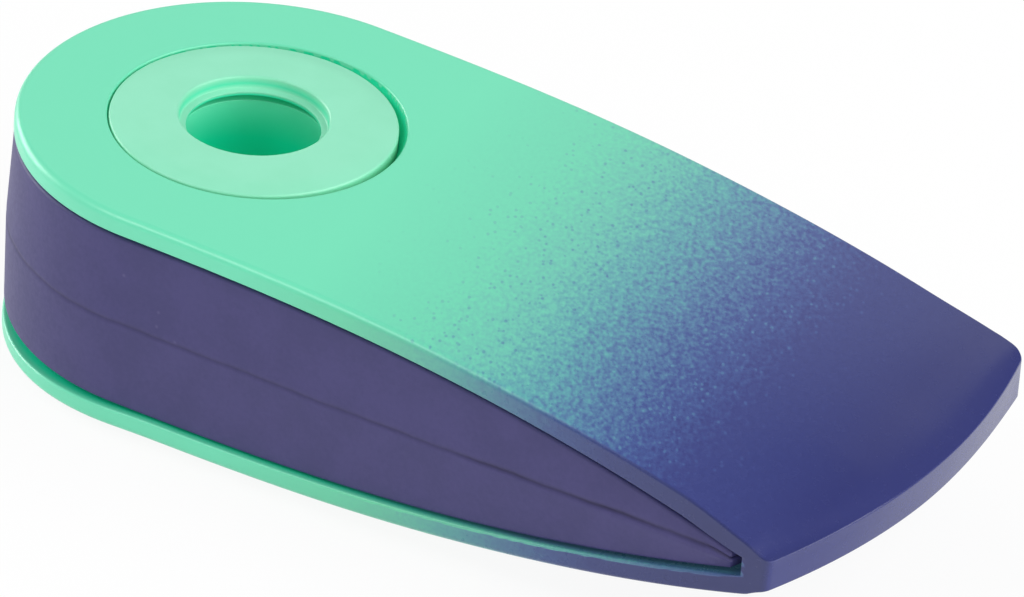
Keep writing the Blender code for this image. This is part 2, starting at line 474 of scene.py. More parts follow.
class Bench:
    """A node tree under construction."""

    def __init__(self, tree: bpy.types.NodeTree) -> None:
        """Start from an empty tree."""
        tree.nodes.clear()
        self.tree = tree

    def node(self, kind: str, settings: dict[str, Any], sockets: Sockets) -> bpy.types.Node:
        """Add a node, set its settings and then fill its sockets.

        Args:
            kind: Blender's node type.
            settings: Attributes by name; "stops" holds a ramp's places and colours.
            sockets: Values, wires or output sockets by the input's name or number.

        Returns:
            The new node.
        """
        made = self.tree.nodes.new(kind)
        for name, value in settings.items():
            if name == "stops":
                self._fill_ramp(made.color_ramp, value)
            else:
                setattr(made, name, value)
        for name, value in sockets.items():
            source = value.socket if isinstance(value, Wire) else value
            if isinstance(source, bpy.types.NodeSocket):
                self.tree.links.new(source, made.inputs[name])
            else:
                made.inputs[name].default_value = source
        return made

    @staticmethod
    def _fill_ramp(ramp: bpy.types.ColorRamp, stops: Sequence[tuple[float, Colour]]) -> None:
        """Give a ramp its stops, in order of place."""
        for place, _ in stops[1:-1]:
            ramp.elements.new(place)
        for element, (place, colour) in zip(ramp.elements, stops):
            element.position = place
            element.color = colour

    def math(self, operation: str, first: Any, second: Any) -> Wire:
        """Add a Math node on two values and return its result."""
        made = self.node("ShaderNodeMath", {"operation": operation}, {0: first, 1: second})
        return Wire(self, made.outputs[0])

    def value(self, node: bpy.types.Node, output: Union[str, int]) -> Wire:
        """Wrap one output of a node."""
        return Wire(self, node.outputs[output])

    def noise(self, where: Any, scale: float, detail: float, roughness: float) -> Wire:
        """Add a Noise Texture, with its scale in waves to the metre, and return its value, about 0.5."""
        sockets = {"Vector": where, "Scale": scale, "Detail": detail, "Roughness": roughness}
        return self.value(self.node("ShaderNodeTexNoise", {"noise_dimensions": "3D"}, sockets), 0)

    def drops(self, where: Any, scale: float) -> tuple[Wire, Wire]:
        """Scatter cells and return the distance from each cell's point and a number drawn for it.

        Args:
            where: Coordinates that the cells lie in.
            scale: Cells to the metre.

        Returns:
            Distance in cell widths, and a number from 0 to 1 that is the same across a cell.
        """
        cells = self.node("ShaderNodeTexVoronoi", {"feature": "F1"}, {"Vector": where, "Scale": scale})
        drawn = self.node("ShaderNodeSeparateColor", {}, {0: cells.outputs["Color"]})
        return self.value(cells, "Distance"), self.value(drawn, 0)

    def fade(self, value: Any, low: float, high: float) -> Wire:
        """Add a smooth step that rises from 0 at `low` to 1 at `high`."""
        sockets = {"Value": value, "From Min": low, "From Max": high}
        settings = {"interpolation_type": "SMOOTHSTEP"}
        return self.value(self.node("ShaderNodeMapRange", settings, sockets), 0)

    def blend(self, share: Any, first: Any, second: Any, mode: str = "MIX") -> bpy.types.NodeSocket:
        """Mix two colours by the second one's share, or work the second into the first by a mode."""
        settings = {"data_type": "RGBA", "blend_type": mode}
        return self.node("ShaderNodeMix", settings, {0: share, 6: first, 7: second}).outputs[2]

    def ramp(self, share: Any, stops: Sequence[tuple[float, Colour]]) -> bpy.types.NodeSocket:
        """Look a value up in a colour ramp and return the colour's socket."""
        return self.node("ShaderNodeValToRGB", {"stops": stops}, {"Fac": share}).outputs["Color"]

    def place(self) -> bpy.types.NodeSocket:
        """Return the object's own coordinates, in metres."""
        return self.node("ShaderNodeTexCoord", {}, {}).outputs["Object"]

    def drawn_out(self, where: Any, turn: float, stretch: float) -> bpy.types.NodeSocket:
        """Turn coordinates about Z and draw a texture out along its turned Y by a factor."""
        sockets = {0: where, "Rotation": (0.0, 0.0, turn), "Scale": (1.0, stretch, 1.0)}
        return self.node("ShaderNodeMapping", {"vector_type": "TEXTURE"}, sockets).outputs[0]

    def mark(self) -> Wire:
        """Return the mesh's own mark at each point."""
        return self.value(self.node("ShaderNodeAttribute", {"attribute_name": MARK}, {}), "Fac")

    def bump(self, height: Any, strength: float, distance: float) -> bpy.types.NodeSocket:
        """Turn heights from 0 to 1 into a bumped normal, `distance` metres deep."""
        sockets = {"Height": height, "Strength": strength, "Distance": distance}
        return self.node("ShaderNodeBump", {}, sockets).outputs["Normal"]

    def surface(self, sockets: Sockets) -> None:
        """End a material in a Principled shader."""
        shader = self.node("ShaderNodeBsdfPrincipled", {}, sockets)
        self.node("ShaderNodeOutputMaterial", {}, {"Surface": shader.outputs[0]})


def new_material(name: str) -> tuple[bpy.types.Material, Bench]:
    """Return an empty node material and the bench that fills it."""
    made = bpy.data.materials.new(name)
    made.use_nodes = True
    return made, Bench(made.node_tree)


@dataclass(frozen=True)
class SprayedPlastic:
    """Satin mint plastic under a blue spray coat that thickens towards the nose in fine droplets."""

    hub_x: float
    half_width: float
    # inside: deeper, more saturated green than the bare outside, painted shade; glow and coat_glow: faint
    # emission inside, painted light, green where bare and blue under the coat
    inside: Colour = tint(20, 200, 150)
    inside_coat: Colour = tint(58, 100, 120)
    glow: Colour = (0.0, 0.08, 0.04, 1.0)
    coat_glow: Colour = (0.01, 0.028, 0.042, 1.0)
    wall_tone: Colour = (0.93, 0.95, 0.84, 1.0)
    edge_thinning: float = 0.34
    wall_lead: float = 4.0 * MM
    wall_depth: float = 0.16 * MM
    wall_margin: float = 0.016 * MM
    wall_calm: float = 0.7
    wall_gain: float = 3.0
    inside_gain: float = 2.0
    fade_start: float = 9.0 * MM
    fade_end: float = 39.0 * MM
    lean: float = 0.12
    drift: float = 1.9 * MM
    drift_scale: float = 75.0
    cloud_scale: float = 2600.0
    cloud_strength: float = 0.12
    grain_scale: float = 4600.0
    grain_strength: float = 0.28
    slant: float = math.radians(29.0)
    run_out: float = 1.5
    drop_scale: float = 3000.0
    drop_core: float = 0.18
    drop_size: float = 0.36
    drop_share: float = 0.62
    drop_strength: float = 0.6
    drop_tone: float = 0.55
    drop_relief: float = 0.04
    grain_relief: float = 0.4
    orange_peel: float = 1900.0
    roughness: float = 0.32
    peel_gloss: float = 0.1
    coat_gloss: float = 0.06

    def stops(self) -> list[tuple[float, Colour]]:
        """Colours from bare plastic to full coat, by share of the fade."""
        return [
            (0.0, tint(110, 219, 179)),
            (0.23, tint(107, 208, 174)),
            (0.37, tint(104, 188, 172)),
            (0.47, tint(93, 160, 168)),
            (0.57, tint(84, 123, 159)),
            (0.67, tint(69, 88, 144)),
            (0.77, tint(60, 68, 127)),
            (1.0, tint(50, 55, 111)),
        ]

    def material(self) -> bpy.types.Material:
        """Share of coat from distance, lean and slow drift, broken up by grain and droplets.

        The spray came in at a slant, so that the grain and the droplets run out along it a little.
        The coat runs ahead on the side walls, where it is greyer, and is thinner on the slot's edges.
        Inside, the bare plastic is given a deeper, more saturated green and a faint emission glow: painted
        shade and painted light for light that passes the plastic, green where it is bare.

        Returns:
            The finished material.
        """
        made, bench = new_material("sprayed_plastic")
        where = bench.place()
        axes = bench.node("ShaderNodeSeparateXYZ", {}, {0: where})
        wander = bench.noise(where, self.drift_scale, detail=2.0, roughness=0.5) - NOISE_MEAN
        beside = bench.value(axes, "Y")
        wall_start = self.half_width - self.wall_depth
        wall = bench.fade(beside.size(), wall_start, self.half_width - self.wall_margin)
        along = bench.value(axes, "X") - self.hub_x + beside * self.lean + wall * self.wall_lead
        span = self.fade_end - self.fade_start
        cover = ((along + wander * self.drift - self.fade_start) * (1.0 / span)).limited()
        midway = cover.halfway() * (1.0 - wall * self.wall_calm)
        slanted = bench.drawn_out(where, self.slant, self.run_out)
        cloud = bench.noise(slanted, self.cloud_scale, detail=2.0, roughness=0.6) - NOISE_MEAN
        fleck = bench.noise(slanted, self.grain_scale, detail=1.0, roughness=0.5) - NOISE_MEAN
        grain = (fleck * self.grain_strength + cloud * self.cloud_strength) * midway
        distance, drawn = bench.drops(slanted, self.drop_scale)
        round_dot = 1.0 - bench.fade(distance, self.drop_core, self.drop_size)
        dot = round_dot * (drawn < midway * midway * self.drop_share)
        dab = dot * midway * (self.drop_tone - cover) * self.drop_strength
        mark = bench.mark()
        thin = mark.halfway() * cover * self.edge_thinning
        sprayed = bench.ramp((cover - thin + grain + dab).limited(), self.stops())
        greyed = wall * (cover * self.wall_gain).limited()
        outside = bench.blend(greyed, sprayed, self.wall_tone, "MULTIPLY")
        dulled = (cover * self.inside_gain).limited()
        # Inside colour and emission: painted shade and painted light in the sleeve's recesses and slot.
        inside = bench.blend(dulled, self.inside, self.inside_coat)
        painted_glow = bench.blend(dulled, self.glow, self.coat_glow)
        outer = (mark * (1.0 / Mark.EDGE.value)).limited()
        peel = bench.noise(where, self.orange_peel, detail=3.0, roughness=0.55)
        height = peel + dot * self.drop_relief + grain * self.grain_relief
        dullness = self.roughness + (peel - NOISE_MEAN) * self.peel_gloss
        bench.surface({
            "Base Color": bench.blend(outer, inside, outside),
            "Roughness": dullness - cover * self.coat_gloss,
            "Normal": bench.bump(height, strength=0.12, distance=0.02 * MM),
            "Emission Color": bench.blend(outer, painted_glow, DARK),
            "Emission Strength": 1.0,
        })
        return made


@dataclass(frozen=True)
class HubPlastic:
    """Smooth pale mint plastic with a faint moulded bloom; the bore is given a deeper green with a faint
    glow, painted shade and painted light.
    """

    colour: Colour = tint(141, 224, 189)
    shade: Colour = tint(138, 222, 186)
    # The bore's deeper green and the faint green emission below are painted shade and painted light.
    painted_bore_green: Colour = tint(20, 210, 163)
    glow: Colour = (0.0, 0.075, 0.045, 1.0)
    bloom_scale: float = 420.0
    bloom_span: Pair = (0.35, 0.65)
    fine_scale: float = 3000.0
    roughness: float = 0.38
    fine_gloss: float = 0.08

    def material(self) -> bpy.types.Material:
        """Two near shades mixed by a slow noise, with a fine one in the gloss.

        Where the mesh is marked, in the bore and the mouth, a deeper green and a faint green emission glow
        are painted in: painted shade and painted light for the light that the thin wall lets through.

        Returns:
            The finished material.
        """
        made, bench = new_material("hub_plastic")
        where = bench.place()
        bloom = bench.noise(where, self.bloom_scale, detail=3.0, roughness=0.5)
        fine = bench.noise(where, self.fine_scale, detail=2.0, roughness=0.5)
        face = bench.blend(bench.fade(bloom, *self.bloom_span), self.colour, self.shade)
        inside = bench.mark()
        # The mark paints the deeper green and the emission glow in the bore: painted shade and painted
        # light.
        bench.surface({
            "Base Color": bench.blend(inside, face, self.painted_bore_green),
            "Roughness": self.roughness + (fine - NOISE_MEAN) * self.fine_gloss,
            "Normal": bench.bump(fine, strength=0.06, distance=0.015 * MM),
            "Emission Color": bench.blend(inside, DARK, self.glow),
            "Emission Strength": 1.0,
        })
        return made


@dataclass(frozen=True)
class EraserRubber:
    """Dull violet rubber: slow mottling, fine grain, a few pale specks of dust and a seam painted darker
    in its groove, a painted shade.
    """

    colour: Colour = tint(67, 63, 113)
    shade: Colour = tint(62, 59, 107)
    dust: Colour = tint(100, 98, 136)
    # The seam colour is painted shade in the parting line's groove.
    seam: Colour = tint(36, 32, 70)
    mottle_scale: float = 340.0
    mottle_relief: float = 0.6
    grain_scale: float = 3400.0
    grain_tone: float = 0.5
    tone_span: Pair = (0.3, 0.7)
    speck_scale: float = 900.0
    speck_share: float = 0.1
    speck_span: Pair = (0.04, 0.13)
    speck_strength: float = 0.35
    roughness: float = 0.52
    grain_gloss: float = 0.2
    shine: float = 0.4

    def material(self) -> bpy.types.Material:
        """Two shades mixed by mottling and grain, then specks where a cell's number is small, then the
        seam's darker colour along the marked groove, a painted shade.

        Returns:
            The finished material.
        """
        made, bench = new_material("eraser_rubber")
        where = bench.place()
        mottle = bench.noise(where, self.mottle_scale, detail=4.0, roughness=0.6)
        grain = bench.noise(where, self.grain_scale, detail=3.0, roughness=0.65)
        unevenness = grain - NOISE_MEAN
        distance, drawn = bench.drops(where, self.speck_scale)
        speck = (1.0 - bench.fade(distance, *self.speck_span)) * (drawn < self.speck_share)
        tone = bench.fade(mottle + unevenness * self.grain_tone, *self.tone_span)
        body = bench.blend(tone, self.colour, self.shade)
        dusty = bench.blend(speck * self.speck_strength, body, self.dust)
        relief = grain + mottle * self.mottle_relief
        bench.surface({
            "Base Color": bench.blend(bench.mark(), dusty, self.seam),
            "Roughness": self.roughness + unevenness * self.grain_gloss,
            "Normal": bench.bump(relief, strength=0.2, distance=0.03 * MM),
            "Specular IOR Level": self.shine,
        })
        return made


@dataclass
class Sleeve:
    """Two bowed plates joined by the nose wall, moulded in one piece, with a hub hole in each plate."""

    length: float
    width: float
    thickness: float
    place: np.ndarray
    nose_reach: float = 0.15 * MM
    upper_nose: float = 1.36 * MM
    lower_nose: float = 1.12 * MM
    nose_out: float = 0.24 * MM
    foot_out: float = -0.09 * MM
    foot_turn: float = 0.19 * MM
    far_foot: float = 0.37 * MM
    far_foot_power: int = 4
    near_draw: float = 0.41 * MM
    near_drop: float = 0.43 * MM
    far_rise: float = 0.18 * MM
    twist_from: float = 0.24
    twist_run: float = 4.0 * MM
    plate_wall: float = 1.1 * MM
    nose_wall: float = 1.55 * MM
    slot_end_height: float = 1.15 * MM
    near_corner: float = 0.5 * MM
    far_corner: float = 1.1 * MM
    flare: float = 0.5 * MM
    flare_gain: float = 0.4
    flare_run: Pair = (-3.0 * MM, 11.0 * MM)
    hole_radius: float = 7.87 * MM
    hole_shift: Pair = (0.15 * MM, 0.12 * MM)
    hole_foot: float = 7.62 * MM
    outer_land: float = 9.25 * MM
    inner_land: float = 8.25 * MM
    rim_round: float = 0.44 * MM
    coat_round: float = 0.14 * MM
    finer_from: float = 20.0 * MM
    nose_round: float = 0.08 * MM
    roll_run: float = 1.3 * MM
    roll_drop: float = 0.16 * MM
    slot_round: float = 0.14 * MM
    slot_round_run: float = 1.6 * MM
    hole_round: float = 0.12 * MM
    spray_depth: float = 0.6 * MM
    round_count: int = 9
    face_count: int = 40
    wall_count: int = 7
    inner_count: int = 18

    def slot_radius(self) -> float:
        """Return the slot end's distance from the hub axis."""
        return self.length - self.width / 2 - self.nose_wall

    def plan(self) -> TonguePlan:
        """Return the plan, with its sides divided where the slot ends."""
        end = self.width / 2
        split = math.sqrt(self.slot_radius() ** 2 - end * end)
        nose = self.length - end + self.nose_reach
        return TonguePlan(end, nose, self.near_corner, self.far_corner, split)

    def outer_face(self, flank: Flank) -> Bow:
        """Return the outer face of one plate; the upper plate ends a little higher at the nose."""
        nose = self.upper_nose if flank is Flank.UPPER else self.lower_nose
        end = self.plan().nose_radius
        return Bow(self.outer_land, self.thickness / 2, end, nose, self.roll_run, self.roll_drop)

    def inner_face(self) -> Bow:
        """Return the face that the eraser passes."""
        height = self.thickness / 2 - self.plate_wall
        return Bow(self.inner_land, height, self.slot_radius(), self.slot_end_height / 2)

    def leant(self, points: np.ndarray) -> np.ndarray:
        """Lean the nose back to its foot, twist its upper edge and flare the lower plate's hub end.

        With y as a share of half the width, x grows at the foot by foot_out, with foot_turn * y on
        the near side and far_foot * y^power on the far side, and at the upper edge by nose_out, less
        near_draw at the near corner; between them it runs evenly.
        Above the slot z falls by near_drop to the near corner and rises by far_rise to the far one.
        Each is eased in towards the nose. The lower plate falls by flare, eased in to the hub end,
        and its inner face by more, so that it thins there.

        Args:
            points: Points of a patch.

        Returns:
            The points, moved along X and Z.
        """
        plan = self.plan()
        x, beside, z = points[..., 0], points[..., 1] / (self.width / 2), points[..., 2]
        near, far = (smooth_step(self.twist_from, 1.0, side) for side in (-beside, beside))
        climb = np.clip((z + self.lower_nose) / (self.upper_nose + self.lower_nose), 0.0, 1.0)
        foot = self.foot_out + self.foot_turn * np.minimum(beside, 0.0)
        foot = foot + self.far_foot * np.maximum(beside, 0.0) ** self.far_foot_power
        out = foot + (self.nose_out - self.near_draw * near - foot) * climb
        slot_top = self.slot_end_height / 2
        above = np.clip((z - slot_top) / (self.upper_nose - slot_top), 0.0, 1.0)
        twist = (self.far_rise * far - self.near_drop * near) * above
        leaning = smooth_step(plan.split_x, plan.corner_x(), x)
        twisting = smooth_step(plan.split_x - self.twist_run, plan.corner_x(), x)
        flaring = smooth_step(*self.flare_run, -x) * (z < 0.0)
        inward = np.clip((z + self.thickness / 2) / self.plate_wall, 0.0, 1.0)
        lift = twist * twisting - self.flare * (1.0 + self.flare_gain * inward) * flaring
        return points + np.stack([out * leaning, np.zeros_like(x), lift], axis=-1)

    def plate(self, flank: Flank) -> list[Patch]:
        """Build one plate with its hole, its rim and its share of the nose.

        The outer face is straight lines from the hole to the rim, lifted on to the outer bow; the
        rim is a quarter round; the wall runs down to the inner bow, or past the slot's end to a
        level that the nose wall takes up. The inner face does the same from the rim, drawn in
        radially to the slot's end, back to the hole.

        Args:
            flank: Upper or lower plate.

        Returns:
            The outer face with the rim, the wall and the inner face.
        """
        plan = self.plan()
        outline = plan.outline()
        rim = outline.drawn_in(0.0)
        radius = reach_of(rim)
        outer, inner = self.outer_face(flank), self.inner_face()
        finer = smooth_step(self.finer_from, plan.split_x, rim[:, 0])
        blunt = smooth_step(plan.split_x, plan.corner_x() + self.near_corner / 2, rim[:, 0])
        edge = self.rim_round + (self.coat_round - self.rim_round) * finer
        edge = edge + (self.nose_round - self.coat_round) * blunt
        level = outer.at(radius) - edge
        sharper = smooth_step(plan.split_x - self.slot_round_run, plan.split_x, rim[:, 0])
        soft = self.slot_round * (1.0 - sharper)
        wall_end = inner.at(radius) + soft
        wall_end[plan.nose_columns()] = self.slot_end_height / 2
        drop = level + (wall_end - level) * eased(self.wall_count)[:, None]
        wall = raised(np.broadcast_to(rim, (self.wall_count, *rim.shape)), drop)
        counts = (self.round_count, self.face_count)
        crown = CrownedFace(outer, self.hole_radius, self.hole_round, *counts, self.hole_shift)
        # The upper plate's inner edge keeps the full, unthinned coat further in than the lower plate's:
        # partly the coat, partly painted shade under the upper plate.
        coat = Mark.FULL if flank is Flank.UPPER else Mark.EDGE
        built = [
            Patch.plain(crown.rows(outline, edge), Mark.FULL),
            Patch.plain(wall, Mark.FULL),
            self.inner_patch(outline, soft, coat),
        ]
        return [patch.on(flank) for patch in built]

    def nose_walls(self) -> list[Patch]:
        """Close the nose in front and the slot at its end, from one plate to the other.

        Returns:
            The front wall along the plan and the slot's end wall on its own arc.
        """
        plan = self.plan()
        front = plan.outline().drawn_in(0.0)[plan.nose_columns()]
        slot_end = front * (self.slot_radius() / reach_of(front))[:, None]
        half = self.slot_end_height / 2
        height = half * np.linspace(Flank.UPPER.value, Flank.LOWER.value, self.wall_count)[:, None]
        rows = (self.wall_count, *front.shape)
        return [
            Patch.plain(raised(np.broadcast_to(front, rows), height), Mark.FULL, ring=False),
            # The slot's end wall takes the inside's colour and glow, painted shade and painted light,
            # instead of the coat.
            Patch.plain(raised(np.broadcast_to(slot_end, rows), height), Mark.NONE, ring=False),
        ]

    def inner_patch(self, outline: Outline, soft: np.ndarray, coat: Mark) -> Patch:
        """Rows from the rim's inner edge over the inner bow to the hole, and up the hole's wall.

        The hole's wall leans out from its foot, round the hub axis, to its wider and shifted mouth.
        The spray reaches round the rim's inner edge and dies away inside, where the inside's painted shade
        and painted glow take over.

        Args:
            outline: Plan of the sleeve.
            soft: Radius of the inner edge's round at each column.
            coat: Share of the spray on the inner edge.

        Returns:
            The inner face and the hole's wall.
        """
        inner, turn = self.inner_face(), outline.bearings()
        angle = np.linspace(0.0, QUARTER, self.round_count)
        edge = outline.drawn_in(soft * (1.0 - np.cos(angle[:, None])))
        edge = edge * np.minimum(1.0, self.slot_radius() / reach_of(edge))[..., None]
        edge_height = inner.at(reach_of(edge)) + soft * (1.0 - np.sin(angle[:, None]))
        foot = rings(self.hole_foot + self.hole_round * (1.0 - np.sin(angle)), 0.0, turn)
        foot_height = inner.height + self.hole_round * (1.0 - np.cos(angle))
        share = eased(self.inner_count)[1:-1, None, None]
        face = edge[-1] * (1.0 - share) + foot[0] * share
        climb = np.linspace(0.0, 1.0, self.wall_count)[1:]
        wall_height = foot_height[-1] + (self.thickness / 2 - self.hole_round - foot_height[-1]) * climb
        wall_radius = self.hole_foot + (self.hole_radius - self.hole_foot) * climb
        wall = rings(wall_radius, np.array(self.hole_shift) * climb[:, None], turn)
        points = np.concatenate([
            raised(edge, edge_height),
            raised(face, inner.at(reach_of(face))),
            raised(foot, foot_height[:, None]),
            raised(wall, wall_height[:, None]),
        ])
        depth = np.linalg.norm(points[..., :2] - edge[0], axis=-1)
        mark = coat.value * (1.0 - smooth_step(0.0, self.spray_depth, depth))
        return Patch(points, mark)

    def build(self) -> list[bpy.types.Object]:
        """Make the sleeve and dress it."""
        patches = self.plate(Flank.UPPER) + self.plate(Flank.LOWER) + self.nose_walls()
        leaning = [replace(patch, points=self.leant(patch.points)) for patch in patches]
        piece = mesh_piece("sleeve_shell", leaning, self.place)
        finish = SprayedPlastic(self.place[0], self.width / 2).material()
        fit_piece(piece, finish, Body.SLEEVE, Slot.SLEEVE, "sleeve")
        return [piece]


@dataclass
class EraserWedge:
    """A wedge with crowned faces, a hub hole and sides that swell to a parting line at mid height.

    It settles a little in the slot, towards the lower plate.
    """

    end_radius: float
    tip_radius: float
    half_height: float
    place: np.ndarray
    tip_half: float = 0.375 * MM
    land: float = 8.25 * MM
    corner_radius: float = 0.3 * MM
    split_share: float = 0.9
    end_x: float = -0.32 * MM
    settle: float = 0.09 * MM
    swell: float = 0.15 * MM
    edge_round: float = 0.2 * MM
    edge_share: float = 0.4
    hole_radius: float = 6.25 * MM
    hole_round: float = 0.15 * MM
    tip_gap: float = 0.2 * MM
    seam_depth: float = 0.08 * MM
    seam_width: float = 0.24 * MM
    seam_least: float = 0.5
    seam_wander: float = 0.045 * MM
    depth_waves: Waves = ((0.36, 0.112, -6.272), (0.14, 0.9, 2.2))
    height_waves: Waves = ((0.4, 0.83, 0.0), (0.35, 1.9, 1.3), (0.25, 4.7, 0.0))
    seam_rise: float = 0.46 * MM
    seam_rise_run: Pair = (12.0 * MM, 41.0 * MM)
    seam_limit: float = 0.6
    band_widths: float = 2.4
    band_limit: float = 0.7
    groove_limit: float = 0.3
    groove_taper: float = 1.5
    round_count: int = 8
    face_count: int = 24
    side_count: int = 6
    seam_count: int = 15
    bore_count: int = 6

    def seam(self, run: np.ndarray) -> tuple[np.ndarray, np.ndarray]:
        """Depth and height of the parting line along the side, as sums of slow sine waves.

        Args:
            run: Distance travelled round the side.

        Returns:
            Depth and height at each point.
        """
        strength = self.seam_least + waves_at(run, self.depth_waves)
        wander = self.seam_wander * waves_at(run, self.height_waves)
        return self.seam_depth * np.clip(strength, self.seam_least, 1.0), wander

    def half_rows(self, outline: Outline) -> np.ndarray:
        """Rows from the hole's edge over the crowned face and round its rim, above the middle plane.

        Args:
            outline: Plan of the wedge at mid height.

        Returns:
            Grid of points.
        """
        bow = Bow(self.land, self.half_height, self.tip_radius, self.tip_half)
        counts = (self.round_count, self.face_count)
        crown = CrownedFace(bow, self.hole_radius, self.hole_round, *counts, inset=self.swell)
        level = bow.at(reach_of(outline.drawn_in(0.0)))
        return crown.rows(outline, np.minimum(self.edge_round, self.edge_share * level))

    def side_rows(self, outline: Outline, level: np.ndarray) -> tuple[np.ndarray, np.ndarray]:
        """Rows down the side, which swells evenly from either rim to its middle.

        The parting line draws it in by depth * exp(-(d / w)^2) at distance d from the line, which
        rises towards the tip.

        Args:
            outline: Plan of the wedge at mid height.
            level: Height at which the side meets the rim's round, at each column.

        Returns:
            Grid of points, without the rows that the rims already hold, and its seam marks, which paint
            the groove darker as painted shade.
        """
        depth, wander = self.seam(outline.travelled())
        rise = self.seam_rise * smooth_step(*self.seam_rise_run, outline.drawn_in(0.0)[:, 0])
        wander = np.minimum(wander + rise, self.seam_limit * level)
        near = np.minimum(self.band_widths * self.seam_width, self.band_limit * level)
        upper = level + (near - level) * np.linspace(0.0, 1.0, self.side_count)[1:, None]
        band = near * np.linspace(1.0, -1.0, self.seam_count)[1:-1, None]
        height = np.concatenate([upper, band, -upper[::-1]])
        width = np.minimum(self.seam_width, self.groove_limit * near) / self.groove_taper
        groove = depth * np.exp(-(((height - wander) / width) ** 2))
        inset = groove + self.swell * np.abs(height) / level
        return raised(outline.drawn_in(inset), height), groove / self.seam_depth

    def build(self) -> list[bpy.types.Object]:
        """Make the wedge as one grid closed both ways, and dress it."""
        middle = self.end_radius + self.swell
        tip = self.tip_radius - self.tip_gap
        corner = self.corner_radius
        split = self.tip_radius * self.split_share
        outline = TonguePlan(middle, tip, corner, corner, split, self.end_x).outline()
        top = self.half_rows(outline)
        side, seam = self.side_rows(outline, top[-1, :, 2])
        bottom = top[::-1] * np.array([1.0, 1.0, Flank.LOWER.value])
        bore = top[0] * (1.0, 1.0, 0.0) + (0.0, 0.0, 1.0) * np.linspace(
            bottom[-1, 0, 2], top[0, 0, 2], self.bore_count)[1:-1, None, None]
        points = np.concatenate([top, side, bottom, bore])
        mark = np.zeros(points.shape[:2])
        # The seam marks paint the parting line's groove darker, a painted shade.
        mark[len(top):len(top) + len(side)] = seam
        patch = Patch(points, mark, tube=True)
        seat = self.place - np.array([0.0, 0.0, self.settle])
        piece = mesh_piece("eraser_wedge", [patch], seat)
        fit_piece(piece, EraserRubber().material(), Body.ERASER, Slot.ERASER, "eraser")
        return [piece]


@dataclass(frozen=True)
class Corner:
    """A corner of a turned section: radius from the axis, height, rounding and mark."""

    radius: float
    height: float
    rounding: float = FINE_ROUND
    mark: float = Mark.NONE.value


def softened(corners: Sequence[Corner], steps: int, longest: float) -> np.ndarray:
    """Round the corners of a closed section and divide its long stretches.

    Each corner P with legs along unit vectors a and b becomes an arc of radius r that touches both
    legs at r / tan(half the angle between them); its points turn evenly about the arc's centre.

    Args:
        corners: Corners in order.
        steps: Points on each arc.
        longest: Longest step between two points of the section.

    Returns:
        Section points: radius, height and mark.
    """
    table = np.array([(corner.radius, corner.height, corner.rounding, corner.mark) for corner in corners])
    spot, rounding = table[:, :2], table[:, 2]
    back = np.roll(spot, 1, axis=0) - spot
    ahead = np.roll(spot, -1, axis=0) - spot
    back /= np.linalg.norm(back, axis=1, keepdims=True)
    ahead /= np.linalg.norm(ahead, axis=1, keepdims=True)
    half = np.arccos(np.clip((back * ahead).sum(axis=1), -1.0, 1.0)) / 2
    bisector = back + ahead
    bisector /= np.linalg.norm(bisector, axis=1, keepdims=True)
    centre = spot + bisector * (rounding / np.sin(half))[:, None]
    start = spot + back * (rounding / np.tan(half))[:, None] - centre
    end = spot + ahead * (rounding / np.tan(half))[:, None] - centre
    sweep = (math.pi - 2 * half)[:, None, None]
    share = np.linspace(0.0, 1.0, steps)[None, :, None]
    leaving = np.sin((1.0 - share) * sweep) * start[:, None]
    arriving = np.sin(share * sweep) * end[:, None]
    arcs = (centre[:, None] + (leaving + arriving) / np.sin(sweep)).reshape(-1, 2)
    section = np.column_stack([arcs, np.repeat(table[:, 3], steps)])
    onward = np.roll(section, -1, axis=0) - section
    count = np.maximum(1, np.ceil(np.linalg.norm(onward[:, :2], axis=1) / longest)).astype(int)
    passed = np.arange(count.sum()) - np.repeat(np.cumsum(count) - count, count)
    stride = np.repeat(onward / count[:, None], count, axis=0)
    return np.repeat(section, count, axis=0) + stride * passed[:, None]


